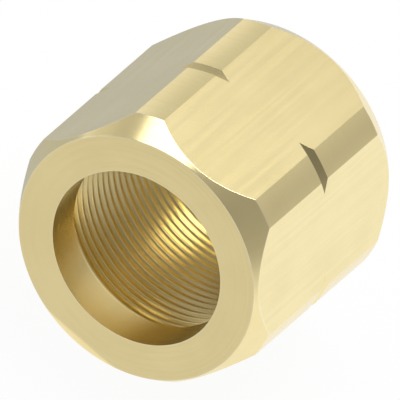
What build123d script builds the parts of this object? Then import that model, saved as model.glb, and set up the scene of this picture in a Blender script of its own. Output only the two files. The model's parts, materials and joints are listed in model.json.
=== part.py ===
from build123d import *
import math
import os

# A brass flare nut: a hexagon nut that slides over a tube and pulls the tube's flared end
# against a fitting. It lies on one of its flats, with its axis along Y.
# The tube end faces -Y and the threaded end faces +Y.
# The origin is on the surface that the nut lies on, under the middle of its length.
# Sizes are in millimetres and angles in degrees. Places along the axis count from the tube end.

# The hexagon, and what the lathe takes off its corners and ends
ACROSS_FLATS = 38.1
LENGTH = 37.1
CORNER_CUT = 1.17           # how far the turned corners lie inside the sharp ones
RING_INSET = 0.35           # how far the ring on each end lies inside the flats
CHAMFER_ANGLE = 30.0        # from the axis to the chamfer's cone

# The marking groove, so shallow that it shows only as a notch across each corner
NOTCH_PLACE = 18.8          # the groove's middle
NOTCH_WIDTH = 1.76          # where it breaks through the turned corners
NOTCH_DEPTH = 0.76          # below the turned corners

# The hole that the tube passes through, and the seat that bears on the back of its flare
TUBE_HOLE_DIAMETER = 26.6
TUBE_HOLE_LENGTH = 5.9
SEAT_ANGLE = 45.0           # from the axis to the seat's cone

# The thread, with flat crests and 60 degrees between its flanks.
# The bore here is the one that the thread is cut in, so its wall is where the crests are.
THREAD_DIAMETER = 31.75
THREADS_PER_INCH = 18
FLANK_ANGLE = 60.0
ENTRY_RELIEF = 0.3          # how far the countersunk entry lies outside the thread
ENTRY_ANGLE = 45.0          # from the axis to the countersink's cone

MILLIMETRES_PER_INCH = 25.4
FLATS = 6

# The outside, worked out from the sizes above
flat_radius = ACROSS_FLATS / 2
sharp_corner_radius = flat_radius / math.cos(math.pi / FLATS)
corner_radius = sharp_corner_radius - CORNER_CUT
ring_radius = flat_radius - RING_INSET

# The inside. A thread's crests are cut back to five eighths of the height of its sharp triangle.
thread_pitch = MILLIMETRES_PER_INCH / THREADS_PER_INCH
triangle_height = thread_pitch / 2 / math.tan(math.radians(FLANK_ANGLE / 2))
thread_height = 5 / 8 * triangle_height
crest_radius = THREAD_DIAMETER / 2 - thread_height
entry_radius = THREAD_DIAMETER / 2 + ENTRY_RELIEF
tube_hole_radius = TUBE_HOLE_DIAMETER / 2


def cone_length(radius_a, radius_b, angle):
    """How far along the axis a cone runs between two radii."""
    return abs(radius_a - radius_b) / math.tan(math.radians(angle))


def turned(outline):
    """A solid turned about the axis from (radius, place) points, as on a lathe."""
    return revolve(make_face(Polyline(*outline, close=True)), axis=Axis.Y)


def hexagon_bar():
    """The bar stock, with flats on top and underneath."""
    section = RegularPolygon(flat_radius, FLATS, major_radius=False)
    return extrude(Plane.XZ * section, amount=-LENGTH)


def turned_blank():
    """The cylinder over the corners, with a cone down to the ring at each end."""
    chamfer = cone_length(corner_radius, ring_radius, CHAMFER_ANGLE)
    return turned([
        (0, 0),
        (ring_radius, 0),
        (corner_radius, chamfer),
        (corner_radius, LENGTH - chamfer),
        (ring_radius, LENGTH),
        (0, LENGTH),
    ])


def marking_groove():
    """A ring of V section, which reaches past the sharp corners."""
    def half_width(radius):
        return NOTCH_WIDTH / 2 * (radius - bottom_radius) / NOTCH_DEPTH

    bottom_radius = corner_radius - NOTCH_DEPTH
    return turned([
        (bottom_radius, NOTCH_PLACE),
        (sharp_corner_radius, NOTCH_PLACE - half_width(sharp_corner_radius)),
        (sharp_corner_radius, NOTCH_PLACE + half_width(sharp_corner_radius)),
    ])


def through_hole():
    """The tube hole, the seat, the bore of the thread and its countersunk entry."""
    seat = cone_length(crest_radius, tube_hole_radius, SEAT_ANGLE)
    entry = cone_length(entry_radius, crest_radius, ENTRY_ANGLE)
    return turned([
        (0, 0),
        (tube_hole_radius, 0),
        (tube_hole_radius, TUBE_HOLE_LENGTH),
        (crest_radius, TUBE_HOLE_LENGTH + seat),
        (crest_radius, LENGTH - entry),
        (entry_radius, LENGTH),
        (0, LENGTH),
    ])


def flare_nut():
    """The finished nut, laid on its lowest flat."""
    nut = (hexagon_bar() & turned_blank()) - marking_groove() - through_hole()
    return Pos(0, -LENGTH / 2, flat_radius) * nut


os.makedirs("parts", exist_ok=True)
export_step(flare_nut(), "parts/flare_nut.step")
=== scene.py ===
import json
import math
from collections import namedtuple

import bmesh
import bpy
from mathutils import Matrix, Vector


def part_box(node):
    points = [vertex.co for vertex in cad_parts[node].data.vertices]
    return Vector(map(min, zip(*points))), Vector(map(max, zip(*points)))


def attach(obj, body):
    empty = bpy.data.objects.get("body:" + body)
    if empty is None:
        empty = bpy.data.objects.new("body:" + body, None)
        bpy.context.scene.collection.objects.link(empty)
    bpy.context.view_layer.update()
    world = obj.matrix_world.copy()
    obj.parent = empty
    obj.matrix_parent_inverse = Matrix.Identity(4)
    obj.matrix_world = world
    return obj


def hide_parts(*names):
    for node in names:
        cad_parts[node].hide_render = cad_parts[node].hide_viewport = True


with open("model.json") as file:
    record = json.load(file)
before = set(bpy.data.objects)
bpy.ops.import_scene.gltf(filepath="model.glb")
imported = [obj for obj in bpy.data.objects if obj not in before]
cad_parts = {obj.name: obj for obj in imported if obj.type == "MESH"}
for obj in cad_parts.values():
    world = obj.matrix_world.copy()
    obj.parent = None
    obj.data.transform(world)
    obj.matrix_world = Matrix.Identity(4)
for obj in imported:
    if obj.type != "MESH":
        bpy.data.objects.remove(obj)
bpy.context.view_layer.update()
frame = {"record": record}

# A brass flare nut that lies on one of its flats, seen from its tube end.
# Lengths are in metres and angles in degrees, unless a name says otherwise.
# Places along the nut's axis count from the tube end, and angles round it from +X towards +Z.

MM = 0.001
INCH = 25.4 * MM

# The nut's sizes, from the frame
low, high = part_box("flare_nut")
mounts = {mount["name"]: mount for mount in frame["record"]["mounts"]}
length = high.y - low.y
flat_radius = (high.z - low.z) / 2
corner_radius = min(high.x, -low.x)
axis_height = (high.z + low.z) / 2
tube_hole_radius = mounts["tube_hole"]["dims"]["r_mm"] * MM
tube_hole_length = mounts["tube_hole"]["dims"]["length_mm"] * MM
crest_radius = mounts["thread"]["dims"]["r_mm"] * MM
thread_mouth = mounts["thread"]["pos_m"][1] - low.y
thread_end = thread_mouth - mounts["thread"]["dims"]["length_mm"] * MM
entry_radius = crest_radius + length - thread_mouth         # a countersink of 45 degrees

# The outside, as in the CAD source
FLATS = 6
RING_INSET = 0.35 * MM              # how far the ring on each end lies inside the flats
CHAMFER_ANGLE = 30.0                # from the axis to the chamfer's cone
NOTCH_PLACE = 18.8 * MM             # the marking groove's middle
NOTCH_WIDTH = 1.76 * MM             # where it breaks through the turned corners
NOTCH_DEPTH = 0.76 * MM             # below the turned corners

# The thread. It climbs as a right-hand thread does, as its lines in the photograph slant.
THREAD_HAND = 1
THREADS_PER_INCH = 18
THREAD_DIAMETER = 31.75 * MM
CREST_PLACE = 19.22 * MM            # where the tip of a crest crosses the +X side
FLANK_SLOPE = 63.5                  # from the axis to a flank
CREST_SLOPE = 40.0                  # from the axis to a side of a crest, beside its tip
RUN_OUT_TURNS = 0.6                 # turns over which the thread fades beside the seat
SPARE_TURNS = 3                     # past the nut's length, for the climb and for rounding up

# The bends of the thread's section, each with its radius and the steps that it is made in
Bend = namedtuple("Bend", "radius steps")
TIP_BEND = Bend(0.03 * MM, 1)       # at the tip of a crest
CREST_BEND = Bend(0.35 * MM, 3)     # where a side of a crest bends into its flank
ROOT_BEND = Bend(0.2 * MM, 2)       # where a flank bends into the root

# The finish of the edges, and how finely the mesh is divided
EDGE = 0.03 * MM                    # how far an edge is rounded, to each side
NOTCH_EDGE = 0.008 * MM             # the marking groove and the lip are left sharper
WEAR_WIDTH = 0.22 * MM              # how far the bright edge reaches past the rounding
SIDE_WEAR = 0.7                     # at the sides of a rounding, where its middle has 1
CORNER_SHARE = 0.45                 # the most of a side that a corner's rows take up
COLUMN_STEP = 2.0                   # the widest angle between two columns of the mesh
WELD = 1e-7                         # points nearer than this are one
THINNEST = WELD / 10                # what is thinner than this is dropped
SURFACES = ["turned", "drawn", "thread"]

pitch = INCH / THREADS_PER_INCH
thread_depth = THREAD_DIAMETER / 2 - crest_radius
ring_radius = flat_radius - RING_INSET
notch_radius = corner_radius - NOTCH_DEPTH
sector = 360 / FLATS
strip_edge = math.degrees(math.acos(flat_radius / corner_radius))   # from a flat's normal to its edge
notch_tip = math.degrees(math.acos(flat_radius / notch_radius))     # and to the tip of a notch

# A column of the mesh is a section of the nut's wall at an angle round the axis.
# A section's points are (radius, place along the axis). Its corners are rounded into rows.
Column = namedtuple("Column", "angle off_normal")       # with the angle from the flat's normal
Corner = namedtuple("Corner", "point edge surface")     # with the surface that follows it
Row = namedtuple("Row", "point wear surface")


def soft_min(a, b, width):
    """The smaller of two lengths, blended where they differ by less than the width."""
    share = min(max(0.5 + (b - a) / (2 * width), 0.0), 1.0)
    return b + (a - b) * share - width * share * (1 - share)


def smooth_step(value):
    """A rise from 0 to 1 that is level at both ends."""
    value = min(max(value, 0.0), 1.0)
    return value * value * (3 - 2 * value)


def mesh_columns():
    """The mesh's columns, all the way round. There is one on each edge of a flat, one to each
    side of it, one at each notch's tip and one beside that."""
    edge_turn = math.degrees(EDGE / corner_radius)
    marks = [0, notch_tip, notch_tip + edge_turn, strip_edge - edge_turn, strip_edge,
             strip_edge + edge_turn, sector / 2]
    half = [0.0]
    for start, end in zip(marks, marks[1:]):
        steps = math.ceil((end - start) / COLUMN_STEP)
        half += [start + (end - start) * step / steps for step in range(1, steps + 1)]
    across = [-angle for angle in reversed(half)] + half[1:-1]
    normals = [sector / 2 + sector * flat for flat in range(FLATS)]
    return [Column(normal + offset, abs(offset)) for normal in normals for offset in across]


def rounded(before, corner, after):
    """A corner of a section as five rows: the rounding, with a support to each side of it."""
    def towards(other, distance):
        gap = other.point - corner.point
        return corner.point + gap * (distance / gap.length) if gap.length > 0 else corner.point.copy()

    gaps = [(other.point - corner.point).length for other in (before, after)]
    room = CORNER_SHARE * min(gaps)
    cut = min(corner.edge, room)
    wear = cut / EDGE
    support = min(cut + WEAR_WIDTH * wear, room)
    start, end = towards(before, cut), towards(after, cut)
    middle = start / 4 + corner.point / 2 + end / 4         # half-way along the curve between them
    return [
        Row(towards(before, support), 0.0, before.surface),
        Row(start, SIDE_WEAR * wear, before.surface),
        Row(middle, wear, corner.surface),
        Row(end, SIDE_WEAR * wear, corner.surface),
        Row(towards(after, support), 0.0, corner.surface),
    ]


def rounded_run(corners):
    """The rows of all corners but the first and the last."""
    rows = []
    for before, corner, after in zip(corners, corners[1:], corners[2:]):
        rows += rounded(before, corner, after)
    return rows


def outside_corners(bar_radius):
    """The corners of a section from the tube hole's rim to the countersink's. What the surface
    "bar" names is drawn on a flat and turned on a corner strip."""
    chamfer = (bar_radius - ring_radius) / math.tan(math.radians(CHAMFER_ANGLE))
    bottom = min(bar_radius, notch_radius)
    half_notch = NOTCH_WIDTH / 2 * (bar_radius - bottom) / NOTCH_DEPTH
    return [
        Corner(Vector((tube_hole_radius, 0)), EDGE, "turned"),
        Corner(Vector((ring_radius, 0)), EDGE, "turned"),
        Corner(Vector((bar_radius, chamfer)), EDGE, "bar"),
        Corner(Vector((bar_radius, NOTCH_PLACE - half_notch)), NOTCH_EDGE, "turned"),
        Corner(Vector((bottom, NOTCH_PLACE)), NOTCH_EDGE, "turned"),
        Corner(Vector((bar_radius, NOTCH_PLACE + half_notch)), NOTCH_EDGE, "bar"),
        Corner(Vector((bar_radius, length - chamfer)), EDGE, "turned"),
        Corner(Vector((ring_radius, length)), EDGE, "turned"),
        Corner(Vector((entry_radius, length)), EDGE, "turned"),
    ]


def carry_round(points, start, end, radius, steps):
    """Carries a profile on round an arc, from one slope to another, both in radians. A hollow has
    a negative radius."""
    place, deep = points[-1]
    for step in range(1, steps + 1):
        turn = start + (end - start) * step / steps
        points.append((
            place + radius * (math.sin(turn) - math.sin(start)),
            deep + radius * (math.cos(start) - math.cos(turn)),
        ))


def thread_profile():
    """One turn of the thread as (share of the pitch from the crest's tip, depth below the tip)."""
    crest_slope, flank_slope = math.radians(CREST_SLOPE), math.radians(FLANK_SLOPE)
    half = [(0.0, 0.0)]
    carry_round(half, 0, crest_slope, *TIP_BEND)
    carry_round(half, crest_slope, flank_slope, *CREST_BEND)
    place, deep = half[-1]
    flank_depth = thread_depth - deep - ROOT_BEND.radius * (1 - math.cos(flank_slope))
    half.append((place + flank_depth / math.tan(flank_slope), deep + flank_depth))
    carry_round(half, flank_slope, 0, -ROOT_BEND.radius, ROOT_BEND.steps)
    other_half = [(pitch - place, deep) for place, deep in reversed(half[1:])]
    return [(place / pitch, deep) for place, deep in half + [(pitch / 2, thread_depth)] + other_half]


def on_countersink(point, neighbours):
    """A point of the thread as it is, or on the countersink where that has cut it away."""
    def missing(other):
        return entry_radius - (length - other.y) - other.x

    if missing(point) <= 0:
        return point
    for other in neighbours:
        if missing(other) < 0:
            return point.lerp(other, missing(point) / (missing(point) - missing(other)))
    return Vector((point.x + missing(point), point.y))


def thread_rows(profile, angle, mouth, end):
    """The thread's section at an angle, from the mouth to its end, with a fixed number of rows.
    Those that lie past the mouth or the end gather there."""
    climb = THREAD_HAND * angle / 360
    turns = math.ceil(length / pitch) + SPARE_TURNS
    first = math.ceil((length - CREST_PLACE) / pitch) + 1       # a turn past the nut, for the climb
    points = []
    for turn in range(turns):
        for share, deep in profile:
            place = CREST_PLACE + pitch * (first - turn - share - climb)
            fade = smooth_step((place - end.y) / (RUN_OUT_TURNS * pitch))
            points.append(Vector((crest_radius + deep * fade, place)))
    rows = []
    for index, point in enumerate(points):
        point = on_countersink(point, points[max(index - 1, 0):index + 2])
        if point.y > mouth.y:
            point = mouth
        elif point.y < end.y:
            point = end
        rows.append(Row(point.copy(), 0.0, "thread"))
    return rows


def section(profile, column):
    """The closed outline of the nut's wall at a column: the rows up to the thread, those of the
    thread, and the rest."""
    cut_across = flat_radius / math.cos(math.radians(column.off_normal))
    outside = outside_corners(soft_min(cut_across, corner_radius, EDGE / 2))
    mouth = Corner(Vector((crest_radius, thread_mouth)), EDGE, "thread")
    seat = Corner(Vector((crest_radius, thread_end)), EDGE, "turned")
    lip = Corner(Vector((tube_hole_radius, tube_hole_length)), NOTCH_EDGE, "turned")
    outer = rounded_run([lip, *outside, mouth])
    inner = rounded_run([mouth, seat, lip, outside[0]])
    return outer, thread_rows(profile, column.angle, outer[-1].point, inner[0].point), inner


def add_points(built, columns, sections):
    """The points of all sections, with their wear."""
    worn = built.verts.layers.float.new("wear")
    for column, rows in zip(columns, sections):
        across, up = math.cos(math.radians(column.angle)), math.sin(math.radians(column.angle))
        for point, wear, _ in rows:
            made = built.verts.new((point.x * across, low.y + point.y, axis_height + point.x * up))
            made[worn] = wear
    built.verts.ensure_lookup_table()


def add_faces(built, columns, sections, thread_start, thread_count, turn_count):
    """Faces between neighbouring sections. The last three values are the number of the thread's
    first row, how many rows the thread has, and how many one turn has."""
    count = len(sections[0])

    def vertex(column, row):
        """A vertex's number. After a whole turn the thread's rows meet those of the next turn."""
        row %= count
        if column == len(columns):
            column = 0
            if thread_start <= row < thread_start + thread_count:
                shifted = row - thread_start + THREAD_HAND * turn_count
                row = thread_start + min(max(shifted, 0), thread_count - 1)
        return column * count + row

    for column, rows in enumerate(sections):
        beside = columns[(column + 1) % len(columns)]
        on_flat = (columns[column].off_normal + beside.off_normal) / 2 < strip_edge
        for row in range(count):
            corners = (vertex(column, row), vertex(column + 1, row),
                       vertex(column + 1, row + 1), vertex(column, row + 1))
            corners = [built.verts[index] for index in dict.fromkeys(corners)]
            surface = rows[row].surface
            if surface == "bar":
                surface = "drawn" if on_flat else "turned"
            if len(corners) > 2:
                built.faces.new(corners).material_index = SURFACES.index(surface)


def nut_mesh():
    """The nut's wall as one closed mesh, with a helical thread, and with the wear of its edges."""
    profile = thread_profile()
    columns = mesh_columns()
    parts = [section(profile, column) for column in columns]
    sections = [outer + thread + inner for outer, thread, inner in parts]
    first_outer, first_thread, _ = parts[0]
    built = bmesh.new()
    add_points(built, columns, sections)
    add_faces(built, columns, sections, len(first_outer), len(first_thread), len(profile))
    bmesh.ops.remove_doubles(built, verts=built.verts, dist=WELD)
    bmesh.ops.dissolve_degenerate(built, edges=built.edges, dist=THINNEST)
    bmesh.ops.recalc_face_normals(built, faces=built.faces)
    for face in built.faces:
        face.smooth = True
    mesh = bpy.data.meshes.new("flare_nut_finish")
    built.to_mesh(mesh)
    built.free()
    flatten(mesh)
    return mesh


def flatten(mesh):
    """Smooth shading that leaves flat faces flat: each point's normal follows its largest faces."""
    normals = [Vector() for _ in mesh.vertices]
    for face in mesh.polygons:
        for corner in face.vertices:
            normals[corner] += face.normal * face.area
    mesh.normals_split_custom_set_from_vertices([normal.normalized() for normal in normals])


# Materials. Their marks are laid out in the nut's own coordinates, in metres.

PALE_BRASS = (0.90, 0.757, 0.40, 1.0)
TONED_BRASS = (0.86, 0.722, 0.37, 1.0)
WORN_BRASS = (0.95, 0.84, 0.56, 1.0)
ROUGHNESS = 0.22
MARK_ROUGHNESS = 0.018      # how far the marks raise and lower it
WORN_ROUGHNESS = -0.06      # how far a worn edge lies from it
MARK_TONE = 0.35            # the marks' share in the change of tone
TONE_PATCHES = 110          # to a metre
WEAR_PATCHES = 900          # to a metre
MARK_DETAIL = 3             # the finer layers in the noise of the marks
TONE_DETAIL = 4             # and in that of the patches of tone
WEAR_DETAIL = 2             # and in that of the patches of wear
NOISE_RANGE = (0.3, 0.7)    # where a noise has nearly all its values
TONE_RANGE = (0.35, 0.65)   # two noises put together spread less
LEAST_RUBBED = 0.35         # the share of its wear that an edge keeps between rubbed patches
RING_DRIFT = (0.03, 0, 0.02)        # how a ring's marks change across the nut
STREAK_SHARE = 0.02         # a streak's width, as a share of its length


def nodes_of(material):
    """A material's node tree and its shader."""
    material.use_nodes = True
    tree = material.node_tree
    shader = tree.nodes["Principled BSDF"]
    return tree, shader


def faded(tree, value, start, end, before, after):
    """A level that goes smoothly from one value to another."""
    ramp = tree.nodes.new("ShaderNodeMapRange")
    ramp.interpolation_type = "SMOOTHSTEP"
    tree.links.new(value, ramp.inputs["Value"])
    for name, number in (("From Min", start), ("From Max", end), ("To Min", before), ("To Max", after)):
        ramp.inputs[name].default_value = number
    return ramp.outputs["Result"]


def put(tree, socket, value):
    """Gives a socket a value, or links it to another."""
    if isinstance(value, bpy.types.NodeSocket):
        tree.links.new(value, socket)
    else:
        socket.default_value = value


def joined(tree, operation, first, second):
    """Two levels put together by a Math node."""
    made = tree.nodes.new("ShaderNodeMath")
    made.operation = operation
    put(tree, made.inputs[0], first)
    put(tree, made.inputs[1], second)
    return made.outputs["Value"]


def vector_of(tree, operation, first, second):
    """Two vectors put together by a Vector Math node."""
    made = tree.nodes.new("ShaderNodeVectorMath")
    made.operation = operation
    put(tree, made.inputs[0], first)
    put(tree, made.inputs[1], second)
    return made


def mixed(tree, share, first, second):
    """One colour mixed into another."""
    made = tree.nodes.new("ShaderNodeMixRGB")
    for name, value in (("Fac", share), ("Color1", first), ("Color2", second)):
        put(tree, made.inputs[name], value)
    return made.outputs["Color"]


def noise(tree, place, scale, detail):
    """A soft random level that changes from place to place."""
    made = tree.nodes.new("ShaderNodeTexNoise")
    tree.links.new(place, made.inputs["Vector"])
    made.inputs["Scale"].default_value = scale
    made.inputs["Detail"].default_value = detail
    return made.outputs["Fac"]


def round_the_axis(tree, place):
    """Coordinates for marks that run round the axis: the radius, the place along the axis, and
    a slow change across, so that no ring is the same all the way round."""
    from_axis = vector_of(tree, "SUBTRACT", place, (0, 0, axis_height)).outputs["Vector"]
    radial = vector_of(tree, "MULTIPLY", from_axis, (1, 0, 1)).outputs["Vector"]
    split = tree.nodes.new("ShaderNodeSeparateXYZ")
    tree.links.new(place, split.inputs["Vector"])
    rings = tree.nodes.new("ShaderNodeCombineXYZ")
    tree.links.new(vector_of(tree, "LENGTH", radial, (0, 0, 0)).outputs["Value"], rings.inputs["X"])
    tree.links.new(split.outputs["Y"], rings.inputs["Y"])
    slow = vector_of(tree, "DOT_PRODUCT", radial, RING_DRIFT).outputs["Value"]
    tree.links.new(slow, rings.inputs["Z"])
    return rings.outputs["Vector"]


def along_the_axis(tree, place):
    """Coordinates for streaks that run along the axis, as the drawing die leaves them."""
    return vector_of(tree, "MULTIPLY", place, (1, STREAK_SHARE, 1)).outputs["Vector"]


def brass(name, layout, marks_per_metre, mark_depth):
    """Brass in two close tones, with fine tool marks, and rubbed bright along its edges."""
    material = bpy.data.materials.new(name)
    tree, shader = nodes_of(material)
    place = tree.nodes.new("ShaderNodeTexCoord").outputs["Object"]
    marks = noise(tree, layout(tree, place), marks_per_metre, MARK_DETAIL)
    patches = noise(tree, place, TONE_PATCHES, TONE_DETAIL)
    tone = joined(tree, "ADD", joined(tree, "MULTIPLY", marks, MARK_TONE),
                  joined(tree, "MULTIPLY", patches, 1 - MARK_TONE))
    edges = tree.nodes.new("ShaderNodeAttribute")
    edges.attribute_name = "wear"
    rubbed = faded(tree, noise(tree, place, WEAR_PATCHES, WEAR_DETAIL), *NOISE_RANGE, LEAST_RUBBED, 1)
    worn = joined(tree, "MULTIPLY", edges.outputs["Fac"], rubbed)
    bright = mixed(tree, faded(tree, tone, *TONE_RANGE, 0, 1), PALE_BRASS, TONED_BRASS)
    tree.links.new(mixed(tree, worn, bright, WORN_BRASS), shader.inputs["Base Color"])
    dulled = faded(tree, marks, *NOISE_RANGE, ROUGHNESS - MARK_ROUGHNESS, ROUGHNESS + MARK_ROUGHNESS)
    rubbed_smooth = joined(tree, "MULTIPLY", worn, WORN_ROUGHNESS)
    tree.links.new(joined(tree, "ADD", dulled, rubbed_smooth), shader.inputs["Roughness"])
    bump = tree.nodes.new("ShaderNodeBump")
    bump.inputs["Distance"].default_value = mark_depth
    tree.links.new(marks, bump.inputs["Height"])
    tree.links.new(bump.outputs["Normal"], shader.inputs["Normal"])
    shader.inputs["Metallic"].default_value = 1.0
    return material


FINISHES = {
    # for each surface, its material's name, how its marks run, how many to a metre, and how deep
    "turned": ("turned_brass", round_the_axis, 3000, 0.003 * MM),
    "drawn": ("drawn_brass", along_the_axis, 2000, 0.0018 * MM),
    "thread": ("threaded_brass", round_the_axis, 7000, 0.001 * MM),
}


def make_nut():
    """The finished nut, which stands for the CAD one."""
    nut = bpy.data.objects.new("flare_nut_finish", nut_mesh())
    bpy.context.scene.collection.objects.link(nut)
    for surface in SURFACES:
        nut.data.materials.append(brass(*FINISHES[surface]))
    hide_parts("flare_nut")
    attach(nut, "root")


# The studio. A level of 1 is white.

HORIZON_LEVEL = 0.88
SKY_LEVEL = 0.45
SKY_START = 0.5         # the sine of the elevation at which the horizon's glow has faded
DARKEST_LEVEL = 0.2
WHITE_START = -0.02     # the sine of the elevation below which all is plain white, as the floor is
LOBES = [
    # brighter and darker patches: azimuth from +X towards +Y, elevation, half-width, change of level
    (-65, 33, 48, -0.28),
    (-98, -8, 60, -0.42),
    (97, 40, 44, 0.31),
    (170, 0, 40, -0.10),
    (130, 0, 18, 0.14),
    (229, 45, 28, -0.22),
    (182, 20, 17, 0.12),
]
FLOOR_LEVEL = 0.9
FLOOR_HALF_SIZE = 3.0
PLAIN_WHITE = 0.94      # the share of plain white in what the camera sees of the floor
LAMP_DISTANCE = 0.5     # from the middle of the nut
LAMPS = {
    # azimuth, elevation, half-width, level
    "key": (180, 58, 22, 2.4),
    "overhead": (88, 68, 15.5, 5.2),
}


def aim(azimuth, elevation):
    """The unit vector in a direction, with the azimuth from +X towards +Y."""
    across = math.cos(math.radians(elevation))
    return Vector((
        across * math.cos(math.radians(azimuth)),
        across * math.sin(math.radians(azimuth)),
        math.sin(math.radians(elevation)),
    ))


def make_world():
    """A soft studio: a pale horizon under a darker ceiling, with a bright wall behind the nut
    and a dark one on the camera's side, and plain white below the horizon."""
    world = bpy.data.worlds.new("studio")
    bpy.context.scene.world = world
    world.use_nodes = True
    tree = world.node_tree
    direction = tree.nodes.new("ShaderNodeTexCoord").outputs["Generated"]
    split = tree.nodes.new("ShaderNodeSeparateXYZ")
    tree.links.new(direction, split.inputs["Vector"])
    level = faded(tree, split.outputs["Z"], 0, SKY_START, HORIZON_LEVEL, SKY_LEVEL)
    for azimuth, elevation, half_width, change in LOBES:
        nearness = vector_of(tree, "DOT_PRODUCT", direction, aim(azimuth, elevation))
        edge = math.cos(math.radians(half_width))
        lobe = faded(tree, nearness.outputs["Value"], edge, 1, 0, change)
        level = joined(tree, "ADD", level, lobe)
    level = joined(tree, "MAXIMUM", level, DARKEST_LEVEL)
    under_floor = joined(tree, "LESS_THAN", split.outputs["Z"], WHITE_START)
    level = joined(tree, "MAXIMUM", level, under_floor)
    tree.links.new(level, tree.nodes["Background"].inputs["Color"])


def plane(name, corners, material):
    """One flat face of the studio, which is no part of the nut."""
    mesh = bpy.data.meshes.new(name)
    mesh.from_pydata(corners, [], [tuple(range(len(corners)))])
    mesh.materials.append(material)
    made = bpy.data.objects.new(name, mesh)
    bpy.context.scene.collection.objects.link(made)
    return made


def make_floor():
    """A pale floor. The camera sees nearly plain white there, with a little of the nut's shadow,
    and reflections see plain white."""
    material = bpy.data.materials.new("floor")
    tree, shader = nodes_of(material)
    tree.nodes.remove(shader)
    white = tree.nodes.new("ShaderNodeEmission")
    matt = tree.nodes.new("ShaderNodeBsdfDiffuse")
    matt.inputs["Color"].default_value = (FLOOR_LEVEL, FLOOR_LEVEL, FLOOR_LEVEL, 1)
    path = tree.nodes.new("ShaderNodeLightPath").outputs
    reflected = joined(tree, "MAXIMUM", path["Is Glossy Ray"], path["Is Transmission Ray"])
    seen = joined(tree, "MULTIPLY", path["Is Camera Ray"], PLAIN_WHITE)
    mix = tree.nodes.new("ShaderNodeMixShader")
    tree.links.new(joined(tree, "MAXIMUM", seen, reflected), mix.inputs["Fac"])
    tree.links.new(matt.outputs["BSDF"], mix.inputs[1])
    tree.links.new(white.outputs["Emission"], mix.inputs[2])
    tree.links.new(mix.outputs["Shader"], tree.nodes["Material Output"].inputs["Surface"])
    size = FLOOR_HALF_SIZE
    plane("floor", [(-size, -size, 0), (size, -size, 0), (size, size, 0), (-size, size, 0)], material)


# The cards lie on the floor, one to each side of the nut and two in front of its tube end, and
# only reflections show them. Each has the places of its near and far ends along Y, and those of
# its left and right sides along X at each end.

CARD_HEIGHT = 0.5 * MM
Card = namedtuple("Card", "colour near far near_sides far_sides")
CARDS = {
    "left_card": Card(
        colour=(0.55, 0.58, 0.63),
        near=-0.016,
        far=0.3,
        near_sides=(-0.3, -0.022),
        far_sides=(-0.3, -0.022),
    ),
    "front_card": Card(
        colour=(0.75, 0.75, 0.75),
        near=-0.08,
        far=-0.0195,
        near_sides=(-0.12, 0.08),
        far_sides=(-0.12, 0.08),
    ),
    "right_card": Card(
        colour=(1.03, 1.05, 1.10),
        near=-0.01,
        far=0.3,
        near_sides=(0.035, 0.25),
        far_sides=(0.035, 0.25),
    ),
    "far_card": Card(
        colour=(0.40, 0.40, 0.40),
        near=-0.8,
        far=-0.08,
        near_sides=(-0.6, 0.4),
        far_sides=(-0.12, 0.08),
    ),
}


def make_card(name, card):
    """A card that glows in reflections alone."""
    material = bpy.data.materials.new(name)
    tree, shader = nodes_of(material)
    glow = tree.nodes.new("ShaderNodeEmission")
    glow.inputs["Color"].default_value = (*card.colour, 1)
    tree.links.new(glow.outputs["Emission"], tree.nodes["Material Output"].inputs["Surface"])
    tree.nodes.remove(shader)
    (near_left, near_right), (far_left, far_right) = card.near_sides, card.far_sides
    made = plane(name, [
        (near_left, card.near, CARD_HEIGHT),
        (near_right, card.near, CARD_HEIGHT),
        (far_right, card.far, CARD_HEIGHT),
        (far_left, card.far, CARD_HEIGHT),
    ], material)
    made.visible_camera = False
    made.visible_diffuse = False
    made.visible_shadow = False
    made.visible_transmission = False


def make_lamp(name, azimuth, elevation, half_width, level):
    """A round soft light of a given brightness, seen from the nut at an angle of its half-width."""
    lamp = bpy.data.lights.new(name, "AREA")
    lamp.shape = "DISK"
    radius = LAMP_DISTANCE * math.tan(math.radians(half_width))
    lamp.size = 2 * radius
    lamp.energy = level * (math.pi * radius) ** 2       # the power of a disk as bright as the level
    made = bpy.data.objects.new(name, lamp)
    bpy.context.scene.collection.objects.link(made)
    direction = aim(azimuth, elevation)
    made.location = Vector((0, 0, axis_height)) + direction * LAMP_DISTANCE
    made.rotation_mode = "QUATERNION"
    made.rotation_quaternion = direction.to_track_quat("Z", "Y")


# The camera

VIEW_AZIMUTH = 30.0
VIEW_ELEVATION = 30.0
LAID_DOWN = 30.0        # the photograph shows the nut on a corner strip, and here it lies on a flat
FRAME_WIDTH = 55.02 * MM
CENTRE_RIGHT = 8.75 * MM    # the picture's centre, to the right of the middle of the tube end
CENTRE_UP = 8.03 * MM       # and above it
CAMERA_DISTANCE = 0.5
NEAREST_SEEN = 0.01         # from the camera
FARTHEST_SEEN = 10.0


def make_camera():
    """A camera without perspective, turned about the nut's axis as the nut is laid down."""
    camera = bpy.data.cameras.new("camera")
    camera.type = "ORTHO"
    camera.ortho_scale = FRAME_WIDTH
    camera.clip_start = NEAREST_SEEN
    camera.clip_end = FARTHEST_SEEN
    made = bpy.data.objects.new("camera", camera)
    bpy.context.scene.collection.objects.link(made)
    turn = (
        Matrix.Rotation(math.radians(-LAID_DOWN), 4, "Y")
        @ Matrix.Rotation(math.radians(VIEW_AZIMUTH), 4, "Z")
        @ Matrix.Rotation(math.radians(90 - VIEW_ELEVATION), 4, "X")
    )
    centre = Vector((0, low.y, axis_height)) + turn @ Vector((CENTRE_RIGHT, CENTRE_UP, CAMERA_DISTANCE))
    made.matrix_world = Matrix.Translation(centre) @ turn
    bpy.context.scene.camera = made


make_camera()
make_nut()
make_floor()
make_world()
for name, setting in LAMPS.items():
    make_lamp(name, *setting)
for name, card in CARDS.items():
    make_card(name, card)

bpy.context.scene.view_settings.view_transform = "Standard"
